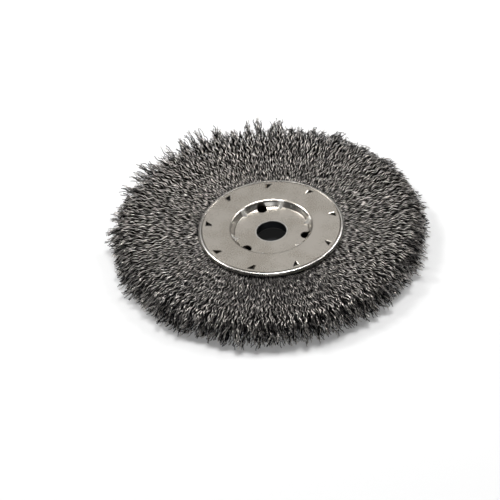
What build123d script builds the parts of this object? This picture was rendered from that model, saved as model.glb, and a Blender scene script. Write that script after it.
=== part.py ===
from build123d import *

import os
from math import atan2, cos, pi, radians, sin, sqrt, tan

# Crimped wire wheel brush. Bunches of steel wire are folded over a keeper ring and clamped
# between two pressed plates, which a thin flared sleeve holds together round the arbor hole.
# Millimetres. +Z is the arbor axis and the origin is the centre of the wheel, which lies flat.

# Wheel
wheel_diameter = 200.0
face_width = 20.0
bore_diameter = 19.05

# Pressed plates
plate_diameter = 92.8
plates_overall = 14.0
sheet = 1.5
flange_width = 20.7
recess_depth = 4.0
recess_wall_run = 2.1
recess_brow_radius = 2.2
recess_corner_radius = 0.9
rim_band = 2.0
rim_radius = 1.4
rim_lip = 0.5
groove_width = 0.7
groove_depth = 0.25

# Teeth struck inwards from each plate
teeth_per_plate = 9
tooth_margin = 1.9
tooth_root = 3.6
tooth_opening = 3.4
tooth_bend_radius = 0.3
tooth_relief = 0.25
first_tooth_angle = 11.0

# Holes and stiffening darts in the corner of the recess
hole_count = 3
hole_diameter = 6.5
hole_inset = 1.2
first_hole_angle = -17.8
darts_per_hole = 2
dart_foot = 3.2
dart_drop = 0.5
dart_width = 4.4
dart_sink = 0.3

# Arbor sleeve and hub spacer
sleeve_wall = 0.5
sleeve_lip = 0.35
sleeve_mouth = 0.2
sleeve_fit = 0.05
spacer_margin = 1.05

# Keeper ring
ring_width = 4.0
ring_height = 4.0
ring_fit = 0.15

# Wire bundles
bundles_per_tooth = 4
strands_per_bundle = 3
fold_thickness = 2.6
fold_clearance = 0.8
fold_chamfer = 2.6
plate_clearance = 0.2
tooth_clearance = 0.15
bundle_gap = 0.3
rim_gap = 1.1
crimp_pitch = 10.0
crimp_sway = 0.8
crimp_depth = 1.1
tip_lengths = 9
tip_scatter = 4.0
tip_notch = 3.0
tip_chamfer = 0.9

# Heights above the mid-plane
plate_face = plates_overall / 2
plate_inside = plate_face - sheet
floor_face = plate_face - recess_depth
floor_inside = floor_face - sheet
rim_edge = plate_face - rim_radius - rim_lip
rim_half = face_width / 2

# Radii
wheel_radius = wheel_diameter / 2
plate_radius = plate_diameter / 2
bore_radius = bore_diameter / 2
sleeve_radius = bore_radius + sleeve_wall
plate_hole_radius = sleeve_radius + sleeve_fit
recess_radius = plate_radius - flange_width
floor_radius = recess_radius - recess_wall_run
hole_circle_radius = floor_radius - hole_inset
dart_rise = recess_depth - dart_drop
spacer_radius = hole_circle_radius - hole_diameter / 2 - spacer_margin
corner_shift = sheet * tan(atan2(recess_depth, recess_wall_run) / 2)
fold_radius = recess_radius + corner_shift + fold_clearance
ring_inner_radius = fold_radius + fold_thickness
ring_outer_radius = ring_inner_radius + ring_width
groove_start = plate_radius - rim_band - groove_width

# Teeth: each is as long as the opening and the bend that it was struck from
bend_outer = tooth_bend_radius + sheet
bend_length = (tooth_bend_radius + sheet / 2) * pi / 2
tooth_tip = plate_face - bend_outer - (tooth_opening + bend_outer - bend_length)
tooth_outer = groove_start - tooth_margin
tooth_inner = tooth_outer - tooth_root
tooth_pitch = 360 / teeth_per_plate

# Bundles: the crimp starts where the wire leaves the plates and ends short of the tips
bundle_count = teeth_per_plate * bundles_per_tooth
bundle_angle = 360 / bundle_count
back_tooth_step = bundles_per_tooth // 2
half_angle = radians(bundle_angle / 2)
crimp_start = plate_radius + plate_clearance
half_pitch = crimp_pitch / 2
crimp_steps = int((wheel_radius - tip_scatter - tip_notch - crimp_start) / half_pitch)
pinch_half = rim_edge - plate_clearance


def plate_section():
    """Half section of a plate: sheet of one thickness, dished round the arbor and turned in at its rim."""
    chamfer_out = plate_hole_radius + sleeve_lip
    points = [
        (plate_hole_radius, floor_face - sleeve_lip),
        (chamfer_out, floor_face),
        (floor_radius, floor_face),
        (recess_radius, plate_face),
        (groove_start, plate_face),
        (groove_start + groove_width / 2, plate_face - groove_depth),
        (groove_start + groove_width, plate_face),
        (plate_radius, plate_face),
        (plate_radius, rim_edge),
        (plate_radius - sheet, rim_edge),
        (plate_radius - sheet, plate_inside),
        (recess_radius + corner_shift, plate_inside),
        (floor_radius + corner_shift, floor_inside),
        (plate_hole_radius, floor_inside),
    ]
    section = Polygon(*points, align=None)
    for corner, radius in (
        ((floor_radius, floor_face), recess_corner_radius),
        ((recess_radius, plate_face), recess_brow_radius),
        ((plate_radius, plate_face), rim_radius),
    ):
        section = fillet(section.vertices().sort_by_distance(corner)[0], radius)
    return Plane.XZ * section


def tooth():
    """A triangular tooth bent straight down from the sheet, in the radial plane through +X."""
    front = -sheet / 2
    bend_y = front + bend_outer
    bend_z = plate_face - bend_outer
    slant = sin(pi / 4)

    def on_bend(radius):
        return (bend_y - radius * slant, bend_z + radius * slant)

    outline = [
        ThreePointArc((bend_y, plate_face), on_bend(bend_outer), (front, bend_z)),
        Polyline((front, bend_z), (front, tooth_tip), (front + sheet, tooth_tip), (front + sheet, bend_z)),
        ThreePointArc((front + sheet, bend_z), on_bend(tooth_bend_radius), (bend_y, plate_inside)),
        Line((bend_y, plate_inside), (bend_y, plate_face)),
    ]
    strip = extrude(Plane.YZ.offset(tooth_inner) * make_face(outline), tooth_root)
    point_width = sheet / 4
    taper = Polygon(
        (tooth_inner - tooth_root, bend_z),
        (tooth_inner, bend_z),
        (tooth_outer - point_width, tooth_tip),
        (tooth_outer - point_width, tooth_tip - sheet),
        (tooth_inner - tooth_root, tooth_tip - sheet),
        align=None,
    )
    return strip - extrude(Plane.XZ * taper, 2 * sheet, both=True)


def tooth_window():
    """The opening that a tooth leaves in the sheet, pointed on the side away from the bend."""
    front = -sheet / 2
    window = Polygon(
        (tooth_inner - tooth_relief, front + bend_outer),
        (tooth_outer + tooth_relief, front + bend_outer),
        (tooth_outer + tooth_relief, front - tooth_opening),
        (tooth_inner - tooth_relief, front),
        align=None,
    )
    return extrude(Pos(0, 0, plate_face) * window, 2 * sheet, both=True)


def dart(shift_out, shift_down):
    """Tent-shaped dart in the recess corner on +X, moved out and down for the dent behind it."""
    wall_top = floor_radius + recess_wall_run * dart_rise / recess_depth
    corners = [
        (floor_radius - dart_foot, 0, floor_face - dart_sink),
        (wall_top + dart_sink, 0, floor_face + dart_rise),
        (floor_radius + dart_sink, dart_width / 2, floor_face - dart_sink),
        (floor_radius + dart_sink, -dart_width / 2, floor_face - dart_sink),
    ]
    return Pos(shift_out, 0, -shift_down) * ConvexPolyhedron(corners)


def plate():
    """The front plate: dished sheet with its teeth, corner holes and darts."""
    turns = [Rot(0, 0, first_tooth_angle + k * tooth_pitch) for k in range(teeth_per_plate)]
    hole_pitch = 360 / hole_count
    dart_pitch = hole_pitch / darts_per_hole
    dart_turns = [
        Rot(0, 0, first_hole_angle + (k + 0.5) * dart_pitch) for k in range(hole_count * darts_per_hole)
    ]
    hole = Pos(hole_circle_radius, 0, plate_face) * Cylinder(hole_diameter / 2, 2 * plate_face)
    holes = [Rot(0, 0, first_hole_angle + k * hole_pitch) * hole for k in range(hole_count)]
    body = revolve(plate_section(), Axis.Z)
    body = body - [turn * dart(corner_shift, sheet) for turn in dart_turns]
    body = body + [turn * dart(0, 0) for turn in dart_turns]
    body = body - [turn * tooth_window() for turn in turns] - holes
    return body + [turn * tooth() for turn in turns]


def sleeve():
    """Thin tube round the arbor, flared over the floor of each plate."""
    lip_radius = sleeve_radius + sleeve_lip
    half = [
        (bore_radius + sleeve_mouth, floor_face),
        (lip_radius, floor_face),
        (sleeve_radius, floor_face - sleeve_lip),
    ]
    other_half = [(radius, -height) for radius, height in reversed(half)]
    inside = [(bore_radius, sleeve_mouth - floor_face), (bore_radius, floor_face - sleeve_mouth)]
    return revolve(Plane.XZ * Polygon(*half, *other_half, *inside, align=None), Axis.Z)


def ring(inner_radius, outer_radius, height):
    """A plain flat ring centred on the origin."""
    return extrude(Circle(outer_radius) - Circle(inner_radius), height / 2, both=True)


def crimp_x(step):
    """Distance of a crimp corner from the axis."""
    return crimp_start + step * half_pitch


def flare(step):
    """Half thickness of the fill at a crimp corner: pinched at the plates, full at the last two corners."""
    share = min(1, step / (crimp_steps - 1))
    return pinch_half + (rim_half - pinch_half) * share


def gap_at(x):
    """Gap between neighbours, which opens as the wires fan out."""
    share = max(0, (x - crimp_start) / (wheel_radius - crimp_start))
    return bundle_gap + (rim_gap - bundle_gap) * share


def sway(step):
    """Sideways offset of the whole fill at a crimp corner."""
    return crimp_sway * (1 if step % 2 else -1)


def tip_reach(tip):
    """Radius of one wire tip: a few lengths, most of them near the full one, in mixed order."""
    share = 5 * tip % tip_lengths / (tip_lengths - 1)
    return wheel_radius - tip_scatter * share**2


def side_section(phase):
    """Radius against height of a bundle: folded nose, flat clamped part, then the crimped flare."""
    plate_bend = plate_radius - sheet - plate_clearance
    upper = [
        (fold_radius, plate_inside - fold_chamfer),
        (fold_radius + fold_chamfer, plate_inside),
        (plate_bend - (plate_inside - pinch_half), plate_inside),
        (plate_bend, pinch_half),
    ]
    upper.append((crimp_start, pinch_half))
    lower = [(x, -z) for x, z in upper]
    for step in range(1, crimp_steps + 1):
        dip = crimp_depth if (step + phase) % 2 else 0
        upper.append((crimp_x(step), flare(step) - dip))
        lower.append((crimp_x(step), crimp_depth - dip - flare(step)))
    past_tips = wheel_radius + half_pitch
    upper.append((past_tips, rim_half - tip_chamfer))
    lower.append((past_tips, tip_chamfer - rim_half))
    section = Polygon(*upper, *reversed(lower), align=None)
    slot_inner = ring_inner_radius * cos(half_angle) - ring_fit
    slot_outer = ring_outer_radius + ring_fit
    slot_height = ring_height + 2 * ring_fit
    slot_centre = (slot_inner + slot_outer) / 2
    return section - Pos(slot_centre, 0) * Rectangle(slot_outer - slot_inner, slot_height)


def strand_end(strand, left_y, right_y):
    """Forked end of one strand, with a tip on its left side and one on its right."""
    left_x = sqrt(tip_reach(2 * strand) ** 2 - left_y**2)
    right_x = sqrt(tip_reach(2 * strand + 1) ** 2 - right_y**2)
    notch_x = min(left_x, right_x) - tip_notch
    return [(left_x, left_y), (notch_x, (left_y + right_y) / 2), (right_x, right_y)]


def plan_outline(index):
    """Plan of a bundle along +X: a wedge that forks into strands, all crimped in step."""
    slope = tan(half_angle)
    steps = range(1, crimp_steps + 1)
    clamped = [(x, x * slope - bundle_gap / 2) for x in (fold_radius, crimp_start)]
    end_x = wheel_radius - tip_scatter / 2
    end_sway = sway(crimp_steps + 1) / 2
    outline = clamped
    for strand in range(strands_per_bundle):
        left_slope = slope * (1 - 2 * strand / strands_per_bundle)
        right_slope = slope * (1 - 2 * (strand + 1) / strands_per_bundle)
        left = [(crimp_x(k), crimp_x(k) * left_slope - gap_at(crimp_x(k)) / 2 + sway(k)) for k in steps]
        right = [(crimp_x(k), crimp_x(k) * right_slope + gap_at(crimp_x(k)) / 2 + sway(k)) for k in steps]
        end = strand_end(
            index * strands_per_bundle + strand,
            end_x * left_slope - gap_at(end_x) / 2 + end_sway,
            end_x * right_slope + gap_at(end_x) / 2 + end_sway,
        )
        outline = outline + left + end + right[::-1]
    return outline + [(x, -y) for x, y in reversed(clamped)]


def tooth_pocket(side, facing):
    """Space that a tooth takes at one edge of a bundle: side is the edge, facing is the plate."""
    length = tooth_root + 2 * tooth_clearance
    half_width = sheet / 2 + tooth_bend_radius + tooth_clearance
    bottom = tooth_tip - tooth_clearance
    height = plate_face - bottom
    middle = (bottom + plate_face) / 2
    box = Pos((tooth_inner + tooth_outer) / 2, 0, facing * middle) * Box(length, 2 * half_width, height)
    return Rot(0, 0, side * bundle_angle / 2) * box


def bundle(index):
    """One bunch of crimped wire, folded over the keeper ring and clamped between the plates."""
    reach_each_way = 2 * wheel_radius * half_angle
    plan = extrude(Polygon(*plan_outline(index), align=None), face_width, both=True)
    body = plan & extrude(Plane.XZ * side_section(index % 2), reach_each_way, both=True)
    for side in (-1, 1):
        boundary = (index + (side + 1) // 2) % bundles_per_tooth
        if boundary == 0:
            body = body - tooth_pocket(side, 1)
        if boundary == back_tooth_step:
            body = body - tooth_pocket(side, -1)
    return Rot(0, 0, first_tooth_angle + (index + 0.5) * bundle_angle) * body


front_plate = plate()
turn_angle = first_tooth_angle + back_tooth_step * bundle_angle / 2
turn_over = Axis((0, 0, 0), Vector(1, 0, 0).rotate(Axis.Z, turn_angle))
pieces = {
    "front_plate": front_plate,
    "back_plate": front_plate.rotate(turn_over, 180),
    "arbor_sleeve": sleeve(),
    "hub_spacer": ring(plate_hole_radius, spacer_radius, 2 * floor_inside),
    "keeper_ring": ring(ring_inner_radius, ring_outer_radius, ring_height),
}
for index in range(bundle_count):
    pieces[f"wire_bundle_{index + 1:02d}"] = bundle(index)

os.makedirs("parts", exist_ok=True)
for name, shape in pieces.items():
    export_step(shape, f"parts/{name}.step")
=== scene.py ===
"""Looks of a crimped wire wheel brush lying on a pale floor. Metres, +Z up the arbor axis."""

import math

import bpy
import numpy as np
from mathutils import Matrix, Vector


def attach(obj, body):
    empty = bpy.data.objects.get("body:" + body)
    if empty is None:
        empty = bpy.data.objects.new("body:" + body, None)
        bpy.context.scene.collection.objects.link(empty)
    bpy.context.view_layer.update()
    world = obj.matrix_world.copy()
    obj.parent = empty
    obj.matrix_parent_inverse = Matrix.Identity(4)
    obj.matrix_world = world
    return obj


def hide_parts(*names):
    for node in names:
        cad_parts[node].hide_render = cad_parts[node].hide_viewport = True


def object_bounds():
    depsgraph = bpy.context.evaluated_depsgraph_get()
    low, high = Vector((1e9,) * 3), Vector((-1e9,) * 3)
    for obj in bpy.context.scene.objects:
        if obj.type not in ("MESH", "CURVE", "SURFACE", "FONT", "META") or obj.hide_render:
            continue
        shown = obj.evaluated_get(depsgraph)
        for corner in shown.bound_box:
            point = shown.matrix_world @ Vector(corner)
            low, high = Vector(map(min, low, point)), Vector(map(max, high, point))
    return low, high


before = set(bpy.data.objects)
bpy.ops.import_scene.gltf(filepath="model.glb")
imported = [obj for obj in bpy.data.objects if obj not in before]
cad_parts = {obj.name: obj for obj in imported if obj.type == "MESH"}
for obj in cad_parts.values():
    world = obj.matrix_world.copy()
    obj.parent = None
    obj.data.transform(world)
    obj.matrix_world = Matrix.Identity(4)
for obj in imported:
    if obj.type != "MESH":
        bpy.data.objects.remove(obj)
cad_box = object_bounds()
MM = 0.001


# Pressed plates
# Two round plates of pressed sheet steel clamp the wire from both sides. They are cold rolled,
# so they have a satin grey skin with faint rolling grain, worn brighter on the proud rim band,
# which also carries a painted highlight. Painted highlight makes the recess wall and the darts
# paler, and painted shade darkens the floor's corner, the groove, the inner faces and the openings.

PLATE_RADIUS = 46.4 * MM
PLATE_FACE = 7.0 * MM
RECESS_DEPTH = 4.0 * MM
FLOOR_FACE = PLATE_FACE - RECESS_DEPTH
FLANGE_WIDTH = 20.7 * MM
WALL_RUN = 2.1 * MM
RECESS_RADIUS = PLATE_RADIUS - FLANGE_WIDTH
CORNER_RADIUS = RECESS_RADIUS - WALL_RUN
WALL_RADIUS = RECESS_RADIUS - 1.2 * MM
WALL_FOOT = FLOOR_FACE + 0.2 * MM
WALL_CLEAR = FLOOR_FACE + 1.0 * MM
RIM_BAND = 2.0 * MM
GROOVE_WIDTH = 0.7 * MM
GROOVE_RADIUS = PLATE_RADIUS - RIM_BAND - GROOVE_WIDTH / 2
BAND_HALF = 1.4 * MM
BAND_RADIUS = PLATE_RADIUS - BAND_HALF
BAND_CROWN = 0.35 * MM
INNER_SKIN_FROM = FLOOR_FACE - 1.4 * MM
INNER_SKIN_TO = FLOOR_FACE - 0.6 * MM
OPENINGS_FROM = 37.5 * MM
OPENINGS_TO = 42.8 * MM
OPENING_DEEP = 5.4 * MM
OPENING_EDGE = PLATE_FACE - 0.25 * MM
FIRST_DART = math.radians(12.2)
DART_PITCH = math.radians(60)
DART_HALF_ANGLE = math.radians(5.5)
DART_CREST = 0.6 * DART_HALF_ANGLE
DARTS_FROM = 20.2 * MM
DARTS_TO = 26.2 * MM


class Value:
    """One output socket of a finish. Sums and products with it add Math nodes."""

    def __init__(self, finish, socket):
        self.finish = finish
        self.socket = socket

    def calculate(self, operation, first, second=0.0):
        return self.finish.node("ShaderNodeMath", {0: first, 1: second}, operation=operation)

    def __add__(self, other):
        return self.calculate("ADD", self, other)

    def __sub__(self, other):
        return self.calculate("SUBTRACT", self, other)

    def __rsub__(self, other):
        return self.calculate("SUBTRACT", other, self)

    def __mul__(self, other):
        return self.calculate("MULTIPLY", self, other)

    def __truediv__(self, other):
        return self.calculate("DIVIDE", self, other)

    def __pow__(self, other):
        return self.calculate("POWER", self, other)

    __radd__ = __add__

    def size(self):
        return self.calculate("ABSOLUTE", self)

    def folded(self, span):
        """Runs up from 0 to span and back down to 0, over and over."""
        return self.calculate("PINGPONG", self, span)

    def clipped(self):
        return self.finish.node("ShaderNodeClamp", {"Value": self})

    def step(self, low, high):
        """0 below low and 1 above high, with a smooth run between them."""
        sockets = {"Value": self, "From Min": low, "From Max": high}
        return self.finish.node("ShaderNodeMapRange", sockets, interpolation_type="SMOOTHSTEP")

    def near(self, middle, inner, outer):
        """1 up to inner on both sides of middle and 0 beyond outer, with a smooth run between."""
        return 1 - (self - middle).size().step(inner, outer)


class Finish:
    """A material: node() adds a node, and feed() links or sets one input of its shader."""

    def __init__(self, name):
        self.material = bpy.data.materials.new(name)
        self.material.use_nodes = True
        self.tree = self.material.node_tree
        self.shader = self.tree.nodes["Principled BSDF"]
        place = self.tree.nodes.new("ShaderNodeTexCoord")
        self.place = Value(self, place.outputs["Object"])

    def node(self, kind, sockets, output=0, **settings):
        made = self.tree.nodes.new(kind)
        for name, setting in settings.items():
            setattr(made, name, setting)
        for name, value in sockets.items():
            self.connect(made.inputs[name], value)
        return Value(self, made.outputs[output])

    def connect(self, socket, value):
        if isinstance(value, Value):
            self.tree.links.new(value.socket, socket)
        else:
            socket.default_value = value

    def feed(self, name, value):
        self.connect(self.shader.inputs[name], value)

    def coordinates(self):
        """X, Y and Z of a point of the piece."""
        parts = self.tree.nodes.new("ShaderNodeSeparateXYZ")
        self.tree.links.new(self.place.socket, parts.inputs[0])
        return [Value(self, parts.outputs[k]) for k in range(3)]

    def radius(self):
        """Distance of a point from the arbor axis."""
        x, y, _ = self.coordinates()
        return (x * x + y * y) ** 0.5

    def height(self):
        """Distance of a point from the wheel's middle plane."""
        return self.coordinates()[2].size()

    def bearing(self):
        """Angle of a point about the arbor axis, counted from +X."""
        x, y, _ = self.coordinates()
        return x.calculate("ARCTAN2", y, x)

    def noise(self, scale, detail):
        sockets = {"Vector": self.place, "Scale": scale, "Detail": detail}
        return self.node("ShaderNodeTexNoise", sockets)

    def blend(self, share, first, second):
        """Colour that runs from first to second as share goes from 0 to 1."""
        return self.layer(share, (*first, 1.0), second)

    def layer(self, share, under, colour):
        """The colour under, with another laid over it by share."""
        sockets = {"Factor": share, 6: under, 7: (*colour, 1.0)}
        return self.node("ShaderNodeMix", sockets, output=2, data_type="RGBA")

    def bump(self, height, distance, strength=1.0):
        sockets = {"Height": height, "Distance": distance, "Strength": strength}
        self.feed("Normal", self.node("ShaderNodeBump", sockets))


def dress(node, finish):
    """Gives a CAD node's object its finish."""
    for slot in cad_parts[node].material_slots:
        slot.material = finish.material


PLATE_GREY = (0.51, 0.467, 0.405)
PLATE_PALE = (0.59, 0.548, 0.49)
PLATE_WEAR_AND_HIGHLIGHT = (0.92, 0.90, 0.86)
PLATE_CREASE_SHADE = (0.30, 0.275, 0.24)
PLATE_HOLLOW_SHADE = (0.10, 0.09, 0.08)
CORNER_SHADE = 0.6
GROOVE_SHADE = 0.7
BAND_SHINE = 0.6
INNER_SHADE = 0.8
OPENING_SHADE = 0.85
CLOUDS_PER_METRE = 55.0
GRAINS_PER_METRE = 2600.0
CLOUD_HEIGHT = 0.006
PLATE_ROUGHNESS = 0.22
CLOUD_ROUGHNESS = 0.06
GRAIN_ROUGHNESS = 0.05
DART_ROUGHNESS = 0.3

pressed_steel = Finish("pressed_steel")
radius = pressed_steel.radius()
height = pressed_steel.height()
clouds = pressed_steel.noise(CLOUDS_PER_METRE, 3.0)
grain = pressed_steel.noise(GRAINS_PER_METRE, 2.0)
skin = pressed_steel.blend(clouds.step(0.35, 0.7), PLATE_GREY, PLATE_PALE)

# Painted highlight: the recess wall is made paler, as if lit.
on_wall = radius.near(WALL_RADIUS, 0.5 * MM, 1.3 * MM) * height.step(WALL_FOOT, WALL_CLEAR)
skin = pressed_steel.layer(on_wall, skin, PLATE_WEAR_AND_HIGHLIGHT)
# Painted shade: a dark line in the floor's corner, and another in the groove inside the rim band.
in_corner = radius.near(CORNER_RADIUS, 0.15 * MM, 0.45 * MM)
skin = pressed_steel.layer(in_corner * CORNER_SHADE, skin, PLATE_CREASE_SHADE)
in_groove = radius.near(GROOVE_RADIUS, 0.1 * MM, 0.45 * MM)
skin = pressed_steel.layer(in_groove * GROOVE_SHADE, skin, PLATE_CREASE_SHADE)
# The rim band is paler, partly from wear on the proud bead and partly as painted highlight.
on_band = radius.step(GROOVE_RADIUS + 0.3 * MM, GROOVE_RADIUS + 0.6 * MM)
skin = pressed_steel.layer(on_band * BAND_SHINE, skin, PLATE_WEAR_AND_HIGHLIGHT)

# Painted shade: darker on the inner faces between the plates and inside the openings.
inside = 1 - height.step(INNER_SKIN_FROM, INNER_SKIN_TO)
skin = pressed_steel.layer(inside * INNER_SHADE, skin, PLATE_HOLLOW_SHADE)
past_openings = radius.step(OPENINGS_TO, OPENINGS_TO + 0.3 * MM)
at_openings = radius.step(OPENINGS_FROM - 1.0 * MM, OPENINGS_FROM) - past_openings
in_opening = (1 - height.step(OPENING_DEEP, OPENING_EDGE)) * at_openings
skin = pressed_steel.layer(in_opening * OPENING_SHADE, skin, PLATE_HOLLOW_SHADE)

# Painted highlight: the darts' facets are made pale, as if they caught the light.
off_dart = (pressed_steel.bearing() - FIRST_DART).folded(DART_PITCH / 2)
past_darts = radius.step(DARTS_TO - 0.5 * MM, DARTS_TO)
at_darts = radius.step(DARTS_FROM, DARTS_FROM + 1.0 * MM) - past_darts
on_dart = (1 - off_dart.step(DART_CREST, DART_HALF_ANGLE)) * at_darts
on_dart = on_dart * height.step(FLOOR_FACE, FLOOR_FACE + 0.3 * MM)
skin = pressed_steel.layer(on_dart, skin, PLATE_WEAR_AND_HIGHLIGHT)

pressed_steel.feed("Base Color", skin)
pressed_steel.feed("Metallic", 1.0)
worn = PLATE_ROUGHNESS + clouds * CLOUD_ROUGHNESS + grain * GRAIN_ROUGHNESS
pressed_steel.feed("Roughness", worn + on_dart * DART_ROUGHNESS)
crown = 1 - ((radius - BAND_RADIUS) / BAND_HALF) ** 2
pressed_steel.bump(clouds * CLOUD_HEIGHT + crown * on_band, BAND_CROWN)
dress("front_plate", pressed_steel)
dress("back_plate", pressed_steel)


# Arbor sleeve
# A thin drawn steel tube through both plates, flared over their floors as a bright narrow lip.
# Inside, the bore is painted near black between the two mouths, a painted shade.

BORE_RADIUS = 9.525 * MM
SHADED_TO = 2.45 * MM
UNSHADED_FROM = 2.8 * MM
SLEEVE_BRIGHT = (0.66, 0.64, 0.60)
SLEEVE_PAINTED_SHADE = (0.11, 0.115, 0.125)
SMEARS_PER_METRE = 260.0
SLEEVE_ROUGHNESS = 0.22
SMEAR_ROUGHNESS = 0.15
SMEAR_HEIGHT = 0.02 * MM

drawn_steel = Finish("drawn_steel")
smear = drawn_steel.noise(SMEARS_PER_METRE, 3.0)
on_bore = 1 - drawn_steel.radius().step(BORE_RADIUS + 0.1 * MM, BORE_RADIUS + 0.2 * MM)
# Painted shade: the bore's wall is near black away from its two mouths.
shaded_bore = (1 - drawn_steel.height().step(SHADED_TO, UNSHADED_FROM)) * on_bore
drawn_steel.feed("Base Color", drawn_steel.blend(shaded_bore, SLEEVE_BRIGHT, SLEEVE_PAINTED_SHADE))
drawn_steel.feed("Metallic", 1.0)
drawn_steel.feed("Roughness", SLEEVE_ROUGHNESS + smear * SMEAR_ROUGHNESS)
drawn_steel.bump(smear, SMEAR_HEIGHT, 0.3)
dress("arbor_sleeve", drawn_steel)


# Hub spacer and keeper ring
# Two plain steel rings shut in between the plates: one keeps the floors apart, and the wires
# are folded over the other. Both stay dull and dark.

INNER_GREY = (0.30, 0.29, 0.275)
INNER_DARK = (0.16, 0.15, 0.14)
MOTTLES_PER_METRE = 320.0
DULL_ROUGHNESS = 0.40
MOTTLE_ROUGHNESS = 0.2
MOTTLE_HEIGHT = 0.03 * MM

dull_steel = Finish("dull_steel")
mottle = dull_steel.noise(MOTTLES_PER_METRE, 4.0)
dull_steel.feed("Base Color", dull_steel.blend(mottle.step(0.35, 0.65), INNER_DARK, INNER_GREY))
dull_steel.feed("Metallic", 1.0)
dull_steel.feed("Roughness", DULL_ROUGHNESS + mottle * MOTTLE_ROUGHNESS)
dull_steel.bump(mottle, MOTTLE_HEIGHT, 0.4)
dress("hub_spacer", dull_steel)
dress("keeper_ring", dull_steel)


# Crimped wires
# Thousands of crimped steel wires leave the plates side by side and fan out to the rim, loose
# and springy. Twelve pieces hold them, one for each three bundles, and each wire is its own tube.

WHEEL_RADIUS = 100.0 * MM
FRONT_SHARE = 0.68
ROOT_RADIUS = 44.6 * MM
ROOT_SCATTER = 1.0 * MM
ROOT_WIRES = 2000
LATER_STARTS = np.arange(52.0, 90.0, 4.0) * MM
LATER_SCATTER = 3.0 * MM
LATER_WIRES = 70
RIM_START = 86.0 * MM
RIM_WIRES = 3300

# Form of the fill: it flares from the plates' edge, droops at the rim, and stands looser and
# longer on one side. Progress is 0 at the plates' edge and 1 at the wheel's radius.
CLAMP_HALF = 4.4 * MM
RIM_HALF = 9.3 * MM
REST_HALF = 10.0 * MM
FLARE_RATE = 1.15
LAYER_DEPTH = 2.6 * MM
DROOP = 1.6 * MM
DROOP_FROM = 0.72
DROOP_RUN = 0.3
DROOP_END = 1.4
LONG_SIDE = math.radians(120)
LONG_EXTRA = 3.0 * MM
TIP_INSET = 1.0 * MM
SHORTEST_TIP = 89.0 * MM
LONGEST_TIP = 107.5 * MM
TIP_SCATTER = 0.9 * MM
TIP_DROOP = 3.0 * MM
TIP_DROOP_LENGTH = 9.0 * MM
DROOPING_ABOVE = -0.6
ROUNDING = 6.0 * MM
ROUNDING_RANGE = (0.5, 1)
RIM_LEVELS = (0, 0.95)

# Tufts: tips gather in them, at warped pitches so that no two are alike.
TUFTS = 71
TUFT_WARPS = ((5, 1.9), (17, 1.3), (29, 0.8))
TUFT_SWELLS = ((13, 0.5), (31, 0.4))
TUFT_REACH = 2.6 * MM
TUFT_RISE = 3.0 * MM
TUFT_PULL = 0.6
LOOSE_PULL = 0.3
TIP_GROWTH = 6
TIP_GROWTH_END = 1.1
STRAY_SHARE = 0.06
STRAY_REACH = 1.5 * MM
LOOSE_STRAY_REACH = 3.0 * MM
LEAN = 0.009
STRAY_LEAN = 0.02
LEAN_GROWTH = 1.5

# One wire: a fine crimp on a slow weave over and under its neighbours.
WIRE_RADIUS = 0.27 * MM
STATION = 1.2 * MM
CRIMP_PITCH = 6.6 * MM
CRIMP_HEIGHT = 0.52 * MM
CRIMP_RANGE = (0.7, 1.3)
CLAMPED_CRIMP = 0.25
FREE_RATE = 6
CRIMP_DRIFT = 0.9
DRIFT_WAVES = (5, 13, 21, 29)
PITCH_SCATTER = 0.012
PHASE_SCATTER = 0.25
UPWARD_CRIMP = 0.4
WANDER = 0.15 * MM
WANDER_PITCHES = (14.0 * MM, 30.0 * MM)
ANY_PHASE = (0, 6.28)
WEAVE_PITCH = 16.0 * MM
WEAVE_SCATTER = 0.05
SURFACING_LENGTH = 8.0 * MM
GOLDEN = 0.618034

# Shade: 0 for wire that lies deep in the fill, and 1 for wire in full light.
LIT_SHARE = 0.45
LIT_LENGTH = 7.0 * MM
FACE_TIP_SHADE = 0.6
ROOT_SHARPNESS = 36
SHARPNESS_LOSS = 4
LATER_SHADE = 0.08
LATER_SHARPNESS = 6
WIRE_SHADES = (0.6, 1)
STATION_SHADES = (0.7, 1)

FIRST_BUNDLE_ANGLE = math.radians(11.0)
BUNDLES = 36
BUNDLES_PER_PIECE = 3
WIRE_PIECES = BUNDLES // BUNDLES_PER_PIECE

draw = np.random.default_rng(11)
tuft_phases = draw.uniform(0, 2 * math.pi, len(TUFT_WARPS) + len(TUFT_SWELLS))
crimp_phases = draw.uniform(0, 2 * math.pi, len(DRIFT_WAVES))


def spread(count):
    """Evenly spread angles for the wires of both faces, with each wire's rank on its own face."""
    front = round(FRONT_SHARE * count)
    ranks = np.concatenate([np.arange(front), np.arange(count - front)])
    on_face = np.where(np.arange(count) < front, front, count - front)
    side = np.where(np.arange(count) < front, 1.0, -1.0)
    return (ranks + draw.uniform(0, 1, count)) * 2 * math.pi / on_face, side, ranks


def tuft_pattern(angle):
    """Phase and strength of the tufts round the wheel.

    The phase is the angle times the number of tufts, warped by sines of a few slower waves. The
    strength is the square of a raised cosine of it, swelled by two more sines.
    """
    warps = zip(TUFT_WARPS, tuft_phases)
    phase = TUFTS * angle + sum(
        size * np.sin(waves * angle + shift) for (waves, size), shift in warps
    )
    swells = zip(TUFT_SWELLS, tuft_phases[len(TUFT_WARPS):])
    swell = 1 + sum(size * np.sin(waves * angle + shift) for (waves, size), shift in swells)
    return phase, (0.5 + 0.5 * np.cos(phase)) ** 2 * swell


def tip_radii(angle, level, loose, tufts, stray):
    """Radius that each wire reaches: less towards both faces, more in tufts and where it strays."""
    count = len(angle)
    tip = WHEEL_RADIUS - TIP_INSET + LONG_EXTRA * np.cos(angle - LONG_SIDE)
    tip -= ROUNDING * (level * draw.uniform(*ROUNDING_RANGE, count)) ** 2
    tip += TUFT_REACH * (1 + loose) * tufts + draw.normal(0, TIP_SCATTER, count)
    tip += stray * draw.uniform(0, 1, count) * (STRAY_REACH + LOOSE_STRAY_REACH * loose)
    return np.clip(tip, SHORTEST_TIP, LONGEST_TIP)[:, None]


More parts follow.
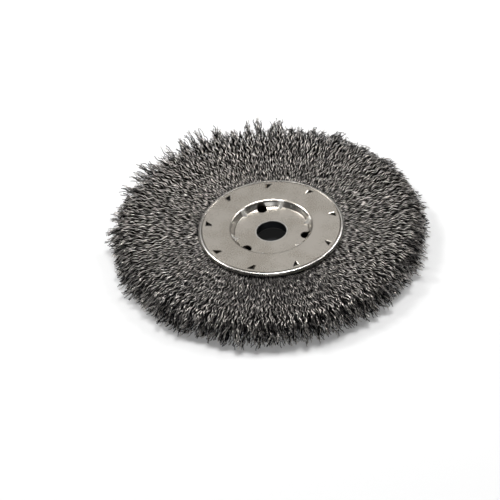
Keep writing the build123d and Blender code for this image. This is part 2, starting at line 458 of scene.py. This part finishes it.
def crimps(angle, reach, progress):
    """How far each station swings sideways and upwards.

    Sideways it is a sine of the radius with the crimp's pitch, nearly in step with the wires
    beside it, plus a slower and weaker sine. Upwards it is a weaker sine of the same pitch.
    """
    count = len(angle)
    free = np.clip(FREE_RATE * progress, 0, 1)
    drift = CRIMP_DRIFT * sum(
        np.sin(waves * angle + shift) for waves, shift in zip(DRIFT_WAVES, crimp_phases)
    )
    phase = 2 * math.pi * (reach - PLATE_RADIUS) / CRIMP_PITCH
    phase *= draw.normal(1, PITCH_SCATTER, (count, 1))
    phase += (drift + draw.normal(0, PHASE_SCATTER, count))[:, None]
    swing = CRIMP_HEIGHT * draw.uniform(*CRIMP_RANGE, (count, 1))
    swing = swing * (CLAMPED_CRIMP + (1 - CLAMPED_CRIMP) * free)
    slow = 2 * math.pi * reach / draw.uniform(*WANDER_PITCHES, (count, 1))
    sideways = swing * np.sin(phase)
    sideways += WANDER * np.sin(slow + draw.uniform(*ANY_PHASE, (count, 1))) * free
    upwards = UPWARD_CRIMP * swing * np.sin(phase + draw.uniform(*ANY_PHASE, (count, 1)))
    return sideways, upwards


def wire_shades(shallow, progress, to_tip, from_plate, rim):
    """Shade of each station: bright where a wire lies on top of the weave, and at some tips."""
    count = len(shallow)
    shown = np.clip(1 - to_tip / LIT_LENGTH, 0, 1)
    lit = draw.uniform(0, 1, (count, 1)) < LIT_SHARE
    if from_plate:
        on_top = shallow ** (ROOT_SHARPNESS / (1 + SHARPNESS_LOSS * progress))
    else:
        on_top = LATER_SHADE * shallow**LATER_SHARPNESS
    shade = np.maximum(on_top, shown * lit * (1.0 if rim else FACE_TIP_SHADE))
    shade = shade * draw.uniform(*WIRE_SHADES, (count, 1))
    return shade * draw.uniform(*STATION_SHADES, shallow.shape)


def wire_paths(count, start, rim=False):
    """Angles, stations and shades of many crimped wires, one row each.

    A wire leaves at an angle, rises with the flare of the fill as it runs outwards, weaves over
    and under its neighbours by a slow sine, and bends down and leans into a tuft near its tip.
    Its crimp swings about that line.
    The rim wires lie between the two faces, and show only their tips.
    """
    angle, side, ranks = spread(count)
    level = side * (draw.uniform(*RIM_LEVELS, count) if rim else np.ones(count))
    loose = np.clip(np.cos(angle - LONG_SIDE), 0, 1) ** 2
    tuft_phase, tufts = tuft_pattern(angle)
    stray = draw.uniform(0, 1, count) < STRAY_SHARE
    tip = tip_radii(angle, level, loose, tufts, stray)

    from_plate = start < PLATE_RADIUS
    steps = round((WHEEL_RADIUS - start) / STATION)
    scatter = ROOT_SCATTER if from_plate else LATER_SCATTER
    first = start + draw.uniform(-1, 1, (count, 1)) * scatter
    reach = first + (tip - first) * np.linspace(0, 1, steps + 1)
    progress = np.clip((reach - PLATE_RADIUS) / (WHEEL_RADIUS - PLATE_RADIUS), 0, None)
    near_tip = np.clip(progress, 0, TIP_GROWTH_END) ** TIP_GROWTH

    pull = np.sin(tuft_phase) / TUFTS * (TUFT_PULL + LOOSE_PULL * loose)
    lean = draw.normal(0, LEAN, count) + stray * draw.normal(0, STRAY_LEAN, count)
    turn = angle[:, None] - pull[:, None] * near_tip + lean[:, None] * progress**LEAN_GROWTH

    sag = np.clip((progress - DROOP_FROM) / DROOP_RUN, 0, DROOP_END) ** 2
    surface = CLAMP_HALF + (RIM_HALF - CLAMP_HALF) * np.clip(FLARE_RATE * progress, 0, 1)
    surface -= DROOP * ((1 - loose) * (level > 0))[:, None] * sag
    weave = reach / WEAVE_PITCH + GOLDEN * ranks[:, None]
    weave += draw.normal(0, WEAVE_SCATTER, (count, 1))
    shallow = 0.5 + 0.5 * np.sin(2 * math.pi * weave)
    if not from_plate:
        shallow = shallow * np.clip((reach - first) / SURFACING_LENGTH, 0, 1)
    sideways, upwards = crimps(angle, reach, progress)
    rise = np.abs(level)[:, None] * (surface - LAYER_DEPTH * (1 - shallow)) * side[:, None]
    rise += TUFT_RISE * (loose * (level > 0) * np.clip(tufts, 0, 1))[:, None] * near_tip
    rise += upwards
    bent = np.clip(1 - (tip - reach) / TIP_DROOP_LENGTH, 0, 1) ** 2
    rise -= TIP_DROOP * ((1 - loose) * (level > DROOPING_ABOVE))[:, None] * bent
    rise = np.clip(rise, WIRE_RADIUS - REST_HALF, None)

    across, out = np.sin(turn), np.cos(turn)
    path = np.stack(
        [reach * out - sideways * across, reach * across + sideways * out, rise], axis=-1
    )
    return angle, path, wire_shades(shallow, progress, tip - reach, from_plate, rim)


def tubes(angle, path):
    """Three-sided tubes: each station of a path carries a triangle that stands across the wire.

    The corners lie a third of a turn from each other, in the plane of the sideways direction
    and Z.
    """
    wires, stations, _ = path.shape
    roll = draw.uniform(0, 2 * math.pi, wires)[:, None] + np.arange(3) * 2 * math.pi / 3
    sideways = np.stack([-np.sin(angle), np.cos(angle), np.zeros(wires)], axis=-1)
    upwards = np.array([0.0, 0.0, 1.0])
    section = np.cos(roll)[..., None] * sideways[:, None, :] + np.sin(roll)[..., None] * upwards
    points = path[:, :, None, :] + WIRE_RADIUS * section[:, None, :, :]
    first = (np.arange(wires) * stations * 3)[:, None, None]
    here = first + (np.arange(stations - 1) * 3)[None, :, None] + np.arange(3)
    beside = first + (np.arange(stations - 1) * 3)[None, :, None] + (np.arange(3) + 1) % 3
    sides = np.stack([here, beside, beside + 3, here + 3], axis=-1).reshape(-1, 4)
    root = np.arange(wires)[:, None] * stations * 3 + np.array([2, 1, 0])
    end = np.arange(wires)[:, None] * stations * 3 + (stations - 1) * 3 + np.arange(3)
    return points.reshape(-1, 3), sides, np.concatenate([root, end])


def mesh_from(name, points, quads, triangles):
    """A mesh object of quads and triangles, all smooth."""
    mesh = bpy.data.meshes.new(name)
    corners = np.concatenate([quads.ravel(), triangles.ravel()])
    quad_starts = np.arange(len(quads)) * 4
    starts = np.concatenate([quad_starts, quads.size + np.arange(len(triangles)) * 3])
    mesh.vertices.add(len(points))
    mesh.vertices.foreach_set("co", points.astype(np.float32).ravel())
    mesh.loops.add(len(corners))
    mesh.loops.foreach_set("vertex_index", corners.astype(np.int32))
    mesh.polygons.add(len(starts))
    mesh.polygons.foreach_set("loop_start", starts.astype(np.int32))
    mesh.polygons.foreach_set("use_smooth", np.ones(len(starts), dtype=bool))
    mesh.update(calc_edges=True)
    mesh.validate()
    made = bpy.data.objects.new(name, mesh)
    bpy.context.scene.collection.objects.link(made)
    return made


WIRE_BRIGHT = (0.96, 0.905, 0.85)
WIRE_DARK = (0.014, 0.013, 0.013)
WIRE_ROUGHNESS = 0.27
SPECK_ROUGHNESS = 0.08
SPECKS_PER_METRE = 420.0

# Painted shade and painted highlight: the shade attribute takes the base colour from near black
# deep in the fill to bright steel where a wire lies on top or at a lit tip.
wire_steel = Finish("crimped_wire_steel")
lightness = wire_steel.node("ShaderNodeAttribute", {}, output=2, attribute_name="shade")
specks = wire_steel.noise(SPECKS_PER_METRE, 2.0)
wire_steel.feed("Base Color", wire_steel.blend(lightness.clipped(), WIRE_DARK, WIRE_BRIGHT))
wire_steel.feed("Metallic", 1.0)
wire_steel.feed("Roughness", WIRE_ROUGHNESS + specks * SPECK_ROUGHNESS)

layers = [wire_paths(ROOT_WIRES, ROOT_RADIUS)]
layers += [wire_paths(LATER_WIRES, start) for start in LATER_STARTS]
layers += [wire_paths(RIM_WIRES, RIM_START, rim=True)]

piece_angle = 2 * math.pi / WIRE_PIECES
for piece in range(WIRE_PIECES):
    points, quads, triangles, shades = [], [], [], []
    offset = 0
    for angle, path, shade in layers:
        place = (angle - FIRST_BUNDLE_ANGLE) % (2 * math.pi)
        mine = (place // piece_angle).astype(int) == piece
        some_points, some_quads, some_triangles = tubes(angle[mine], path[mine])
        points.append(some_points)
        quads.append(some_quads + offset)
        triangles.append(some_triangles + offset)
        shades.append(np.repeat(shade[mine].ravel(), 3))
        offset += len(some_points)
    parts = [np.concatenate(part) for part in (points, quads, triangles)]
    wires = mesh_from(f"crimped_wires_{piece + 1:02d}", *parts)
    shade_of_points = wires.data.attributes.new("shade", "FLOAT", "POINT")
    shade_of_points.data.foreach_set("value", np.concatenate(shades))
    wires.data.materials.append(wire_steel.material)
    first_bundle = piece * BUNDLES_PER_PIECE + 1
    nodes = [f"wire_bundle_{first_bundle + k:02d}" for k in range(BUNDLES_PER_PIECE)]
    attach(wires, "root")
    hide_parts(*nodes)


# Packed wires
# Deep in the fill the wires lie so close that no light comes between them. This is the surface of
# that packed mass, from the fold at the keeper ring to where the wires come apart near the rim.
# It is painted near black with faintly paler streaks, a painted shade for the light that can't get
# in.

PACKED_PROFILE_MM = (
    (28.2, 0.0), (28.6, 2.9), (30.6, 5.2), (43.6, 5.2), (44.8, 3.9), (46.6, 2.5),
    (52.0, 2.7), (64.0, 3.7), (76.0, 4.7), (84.0, 5.3), (87.0, 4.4), (88.5, 0.0),
)
PACKED_TURNS = 540
PACKED_RIDGES = 180
RIDGE_HEIGHT = 0.25 * MM
RIDGE_SWAY = 0.15


def packed_surface():
    """Closed ring: a half profile and its mirror image, turned about Z, with radial ridges.

    The ridges raise the surface by a sine of the angle, and sway with a sine of the radius as
    crimps do.
    """
    half = np.array(PACKED_PROFILE_MM) * MM
    loop = np.concatenate([half, (half * [1, -1])[-2:0:-1]])
    angle = np.linspace(0, 2 * math.pi, PACKED_TURNS, endpoint=False)[:, None]
    reach = loop[None, :, 0]
    level = loop[None, :, 1]
    sway = RIDGE_SWAY * np.sin(reach / CRIMP_PITCH * 2 * math.pi)
    ridge = RIDGE_HEIGHT * np.sin(PACKED_RIDGES * angle + sway) * np.sign(level)
    rise = level + ridge * (reach > PLATE_RADIUS)
    points = np.stack([reach * np.cos(angle), reach * np.sin(angle), rise], axis=-1)
    count = len(loop)
    row = np.arange(PACKED_TURNS)[:, None] * count
    next_row = (np.arange(PACKED_TURNS)[:, None] + 1) % PACKED_TURNS * count
    along = np.arange(count)[None, :]
    after = (along + 1) % count
    quads = np.stack([row + along, row + after, next_row + after, next_row + along], axis=-1)
    return points.reshape(-1, 3), quads.reshape(-1, 4)


PACKED_SHADE = (0.020, 0.018, 0.017)
PACKED_SHADE_STREAK = (0.08, 0.075, 0.07)
STREAKS_PER_METRE = 900.0
PACKED_ROUGHNESS = 0.55
STREAK_ROUGHNESS = 0.2
STREAK_HEIGHT = 0.3 * MM

# Painted shade: near black, with faintly paler streaks.
packed_shade = Finish("packed_wire_shade")
streaks = packed_shade.noise(STREAKS_PER_METRE, 2.0)
streaked = packed_shade.blend(streaks.step(0.45, 0.7), PACKED_SHADE, PACKED_SHADE_STREAK)
packed_shade.feed("Base Color", streaked)
packed_shade.feed("Metallic", 0.6)
packed_shade.feed("Roughness", PACKED_ROUGHNESS + streaks * STREAK_ROUGHNESS)
packed_shade.bump(streaks, STREAK_HEIGHT, 0.8)

packed = mesh_from("packed_wires", *packed_surface(), np.zeros((0, 3), dtype=int))
packed.data.materials.append(packed_shade.material)
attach(packed, "root")


# Floor
# A plain white studio floor under the wheel, which takes its soft shadow. It glows a little where
# it is seen, and under the hub it is painted dark and glows less, a painted shadow, so that the
# view down the bore stays dark.

FLOOR_HALF = 6.0
FLOOR_WHITE = (0.63, 0.63, 0.63)
FLOOR_SHADE = (0.050, 0.051, 0.055)
FLOOR_ROUGHNESS = 0.9
FLOOR_GLOW = 0.20
HUB_GLOW = 0.05
HUB_SHADE = 22.0 * MM
HUB_SHADE_EDGE = 12.0 * MM

floor_mesh = bpy.data.meshes.new("floor")
floor_z = cad_box[0][2]
corners = [(-FLOOR_HALF, -FLOOR_HALF), (FLOOR_HALF, -FLOOR_HALF)]
corners += [(FLOOR_HALF, FLOOR_HALF), (-FLOOR_HALF, FLOOR_HALF)]
floor_mesh.from_pydata([(*corner, floor_z) for corner in corners], [], [(0, 1, 2, 3)])
floor = bpy.data.objects.new("floor", floor_mesh)
bpy.context.scene.collection.objects.link(floor)
paper = Finish("white_paper")
# Painted shadow: near black and glowing less under the hub.
open_floor = paper.radius().step(HUB_SHADE, HUB_SHADE + HUB_SHADE_EDGE)
paper.feed("Base Color", paper.blend(open_floor, FLOOR_SHADE, FLOOR_WHITE))
paper.feed("Roughness", FLOOR_ROUGHNESS)
paper.feed("Specular IOR Level", 0.0)
rays = paper.tree.nodes.new("ShaderNodeLightPath")
seen = Value(paper, rays.outputs["Is Camera Ray"]) + Value(paper, rays.outputs["Is Glossy Ray"])
glow = (open_floor * (1 - HUB_GLOW) + HUB_GLOW) * FLOOR_GLOW
paper.feed("Emission Color", (1.0, 1.0, 1.0, 1.0))
paper.feed("Emission Strength", seen.clipped() * glow)
floor_mesh.materials.append(paper.material)


# Light
# A small bright lamp at each side and a softer one overhead, a broad card behind that the plate
# mirrors, and weak cards low behind, at the right and in front, in a dark room.

ROOM_LIGHT = 0.03


def soft_lamp(name, place, size, radiance):
    """A square lamp aimed at the wheel. Its power follows from its area and its radiance."""
    lamp = bpy.data.lights.new(name, "AREA")
    lamp.shape = "SQUARE"
    lamp.size = size
    lamp.energy = radiance * math.pi * size**2
    holder = bpy.data.objects.new(name, lamp)
    holder.location = place
    holder.rotation_euler = Vector(place).to_track_quat("Z", "Y").to_euler()
    bpy.context.scene.collection.objects.link(holder)


soft_lamp("key_lamp", (-1.2, 0.7, 1.5), size=0.5, radiance=30.0)
soft_lamp("side_lamp", (1.3, 0.65, 1.6), size=0.4, radiance=26.0)
soft_lamp("top_lamp", (0.1, 0.4, 1.85), size=0.6, radiance=24.0)
soft_lamp("back_card", (0.1, 1.7, 1.40), size=1.0, radiance=0.53)
soft_lamp("low_card", (0.0, 2.6, 0.5), size=0.8, radiance=0.6)
soft_lamp("right_card", (1.35, 1.55, 0.8), size=1.2, radiance=0.2)
soft_lamp("front_card", (0.0, -2.4, 0.7), size=1.0, radiance=0.8)

world = bpy.data.worlds.new("studio")
bpy.context.scene.world = world
world.use_nodes = True
room = world.node_tree.nodes["Background"]
room.inputs["Color"].default_value = (1.0, 1.0, 1.0, 1.0)
room.inputs["Strength"].default_value = ROOM_LIGHT


# Camera
# It looks down on the wheel at the photograph's angle, turned a little about its own axis.
# Its frame is set by the pixel that the middle of the front plate lies on.

VIEW_DISTANCE = 1.6667
VIEW_HEIGHT_ANGLE = math.radians(40.4)
VIEW_ROLL = math.radians(5.17)
PIXELS_PER_METRE = 1577.0
PHOTO_WIDTH = 500.0
HUB_PIXEL = (271.0, 226.1)
SENSOR_WIDTH = 36.0
FARTHEST_SEEN = 30.0

camera_data = bpy.data.cameras.new("camera")
camera_data.sensor_width = SENSOR_WIDTH
camera_data.lens = PIXELS_PER_METRE * VIEW_DISTANCE / PHOTO_WIDTH * SENSOR_WIDTH
camera_data.shift_x = (PHOTO_WIDTH / 2 - HUB_PIXEL[0]) / PHOTO_WIDTH
camera_data.shift_y = (HUB_PIXEL[1] - PHOTO_WIDTH / 2) / PHOTO_WIDTH
camera_data.clip_end = FARTHEST_SEEN
camera = bpy.data.objects.new("camera", camera_data)
aim = Vector((0.0, 0.0, PLATE_FACE))
away = Vector((0.0, -math.cos(VIEW_HEIGHT_ANGLE), math.sin(VIEW_HEIGHT_ANGLE)))
facing = away.to_track_quat("Z", "Y").to_matrix() @ Matrix.Rotation(-VIEW_ROLL, 3, "Z")
camera.matrix_world = Matrix.Translation(aim + away * VIEW_DISTANCE) @ facing.to_4x4()
bpy.context.scene.collection.objects.link(camera)
bpy.context.scene.camera = camera
bpy.context.scene.view_settings.view_transform = "Standard"
